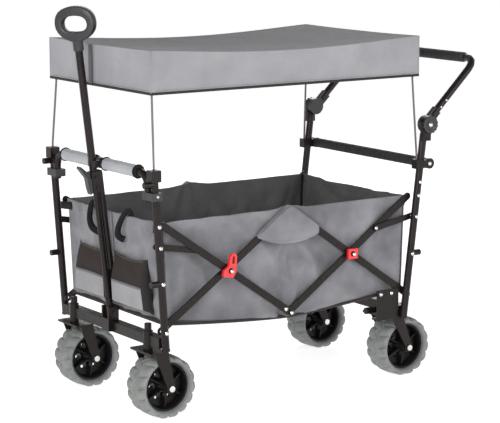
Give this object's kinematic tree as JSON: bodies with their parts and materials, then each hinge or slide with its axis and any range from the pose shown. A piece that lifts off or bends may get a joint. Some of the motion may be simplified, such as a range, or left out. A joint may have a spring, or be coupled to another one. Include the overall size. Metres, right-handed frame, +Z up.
{
  "type": "kids pull wagon",
  "caption": "Folding pull wagon with a grey fabric basket and canopy, side scissor frame, swivelling front wheels, upright pull handle with a loop grip and tilting push bar",
  "frame": {"origin": "on the ground, under the middle of the wagon's outer box", "axes": "+X to the rear, where the push handle is; +Y to the far side; +Z up"},
  "size_m": [1.2818, 0.596, 1.1428],
  "materials": {
    "steel": "powder coat, satin",
    "black_plastic": "moulded, matte",
    "tyre": "matte grey tread",
    "hub": "moulded, satin",
    "bolt": "bright",
    "fabric": "woven polyester, grey",
    "foam": "closed-cell foam",
    "red_plastic": "gloss"
  },
  "bodies": {
    "front_frame": {"front_post_near": "steel", "front_post_far": "steel", "front_axle_beam": "steel", "pull_bracket": "steel", "armrest_tube": "steel", "armrest_sleeve_near": "fabric", "armrest_sleeve_far": "fabric", "armrest_clamp_near": "black_plastic", "armrest_clamp_far": "black_plastic", "pole_clip": "black_plastic", "basket": "fabric", "canopy": "fabric", "canopy_hoop_front": "steel"},
    "rise_front": {"scissor_rise_front_near": "steel", "scissor_rise_front_far": "steel"},
    "fall_front": {"scissor_fall_front_near": "steel", "scissor_fall_front_far": "steel"},
    "rise_rear": {"scissor_rise_rear_near": "steel", "scissor_rise_rear_far": "steel"},
    "fall_rear": {"scissor_fall_rear_near": "steel", "scissor_fall_rear_far": "steel", "rear_block_near": "red_plastic", "rear_block_far": "red_plastic"},
    "rear_frame": {"rear_post_near": "steel", "rear_post_far": "steel", "rear_axle_beam": "steel", "rear_fork_near": "steel", "rear_fork_far": "steel", "axle_rear_near": "bolt", "axle_rear_far": "bolt", "rear_bar": "foam", "canopy_hoop_rear": "steel"},
    "link_front": {"link_front_near": "steel", "link_front_far": "steel"},
    "link_rear": {"link_rear_near": "steel", "link_rear_far": "steel"},
    "push_handle": {"push_tube": "steel", "push_grip": "foam", "push_joint_near": "black_plastic", "push_joint_far": "black_plastic"},
    "pull_lower": {"pull_pole_lower": "steel"},
    "pull_upper": {"pull_pole_upper": "steel", "pull_clamp": "steel", "pull_grip": "black_plastic"},
    "pull_lever": {"pull_lever": "black_plastic"},
    "catch_near": {"front_catch_near": "red_plastic"},
    "caster_near": {"caster_fork_near": "steel", "axle_front_near": "bolt"},
    "wheel_front_near": {"tyre_front_near": "tyre", "hub_front_near": "hub"},
    "wheel_rear_near": {"tyre_rear_near": "tyre", "hub_rear_near": "hub"},
    "catch_far": {"front_catch_far": "red_plastic"},
    "caster_far": {"caster_fork_far": "steel", "axle_front_far": "bolt"},
    "wheel_front_far": {"tyre_front_far": "tyre", "hub_front_far": "hub"},
    "wheel_rear_far": {"tyre_rear_far": "tyre", "hub_rear_far": "hub"}
  },
  "joints": [
    {"name": "fold", "type": "hinge", "parent": "front_frame", "child": "rise_front", "pos_m": [-0.49024, 0, 0.258], "axis": [0, -1, 0], "range_deg": [0, 40.9], "deforming": ["basket", "canopy"]},
    {"name": "front_cross", "type": "hinge", "parent": "rise_front", "child": "fall_front", "pos_m": [-0.27364, 0, 0.407], "axis": [0, -1, 0], "range_deg": [-82, 0]},
    {"name": "centre_top", "type": "hinge", "parent": "rise_front", "child": "rise_rear", "pos_m": [-0.05704, 0, 0.556], "axis": [0, -1, 0], "range_deg": [-82, 0]},
    {"name": "rear_cross", "type": "hinge", "parent": "rise_rear", "child": "fall_rear", "pos_m": [0.15956, 0, 0.407], "axis": [0, -1, 0], "range_deg": [0, 82]},
    {"name": "rear_foot", "type": "hinge", "parent": "rise_rear", "child": "rear_frame", "pos_m": [0.37616, 0, 0.258], "axis": [0, -1, 0], "range_deg": [0, 41]},
    {"name": "front_link", "type": "hinge", "parent": "front_frame", "child": "link_front", "pos_m": [-0.50739, 0, 0.497], "axis": [0, -1, 0], "range_deg": [0, 77.2]},
    {"name": "rear_link", "type": "hinge", "parent": "rear_frame", "child": "link_rear", "pos_m": [0.3881, 0, 0.497], "axis": [0, -1, 0], "range_deg": [-79.5, 0]},
    {"name": "caster_swivel_near", "type": "hinge", "parent": "front_frame", "child": "caster_near", "pos_m": [-0.49954, -0.209, 0.2], "axis": [0, 0, 1], "continuous": true},
    {"name": "wheel_spin_front_near", "type": "hinge", "parent": "caster_near", "child": "wheel_front_near", "pos_m": [-0.45854, -0.209, 0.09], "axis": [0, 1, 0], "continuous": true},
    {"name": "wheel_spin_rear_near", "type": "hinge", "parent": "rear_frame", "child": "wheel_rear_near", "pos_m": [0.38946, -0.209, 0.09], "axis": [0, 1, 0], "continuous": true},
    {"name": "caster_swivel_far", "type": "hinge", "parent": "front_frame", "child": "caster_far", "pos_m": [-0.49954, 0.209, 0.2], "axis": [0, 0, 1], "continuous": true},
    {"name": "wheel_spin_front_far", "type": "hinge", "parent": "caster_far", "child": "wheel_front_far", "pos_m": [-0.45854, 0.209, 0.09], "axis": [0, 1, 0], "continuous": true},
    {"name": "wheel_spin_rear_far", "type": "hinge", "parent": "rear_frame", "child": "wheel_rear_far", "pos_m": [0.38946, 0.209, 0.09], "axis": [0, 1, 0], "continuous": true},
    {"name": "push_tilt", "type": "hinge", "parent": "rear_frame", "child": "push_handle", "pos_m": [0.43146, 0, 0.77], "axis": [0, -1, 0], "range_deg": [-100, 40]},
    {"name": "pull_tilt", "type": "hinge", "parent": "front_frame", "child": "pull_lower", "pos_m": [-0.49854, 0, 0.268], "axis": [0, -1, 0], "range_deg": [0, 80]},
    {"name": "pull_extend", "type": "slide", "parent": "pull_lower", "child": "pull_upper", "axis": [-0.1184, 0, 0.993], "range_m": [-0.08, 0]},
    {"name": "pull_lever_turn", "type": "hinge", "parent": "pull_upper", "child": "pull_lever", "pos_m": [-0.5571, 0, 0.61551], "axis": [0, -1, 0], "range_deg": [0, 35]},
    {"name": "catch_turn_near", "type": "hinge", "parent": "fall_front", "child": "catch_near", "pos_m": [-0.27364, 0, 0.407], "axis": [0, -1, 0], "range_deg": [0, 20], "stiffness_Nm_per_rad": 0.05},
    {"name": "catch_turn_far", "type": "hinge", "parent": "fall_front", "child": "catch_far", "pos_m": [-0.27364, 0, 0.407], "axis": [0, -1, 0], "range_deg": [0, 20], "stiffness_Nm_per_rad": 0.05}
  ],
  "couplings": [
    {"joint": "front_cross", "follows": "fold", "ratio": -2},
    {"joint": "centre_top", "follows": "fold", "ratio": -2},
    {"joint": "rear_cross", "follows": "fold", "ratio": 2},
    {"joint": "rear_foot", "follows": "fold", "ratio": 1},
    {"joint": "front_link", "follows": "fold", "ratio": 1.8836},
    {"joint": "rear_link", "follows": "fold", "ratio": -1.9386}
  ]
}
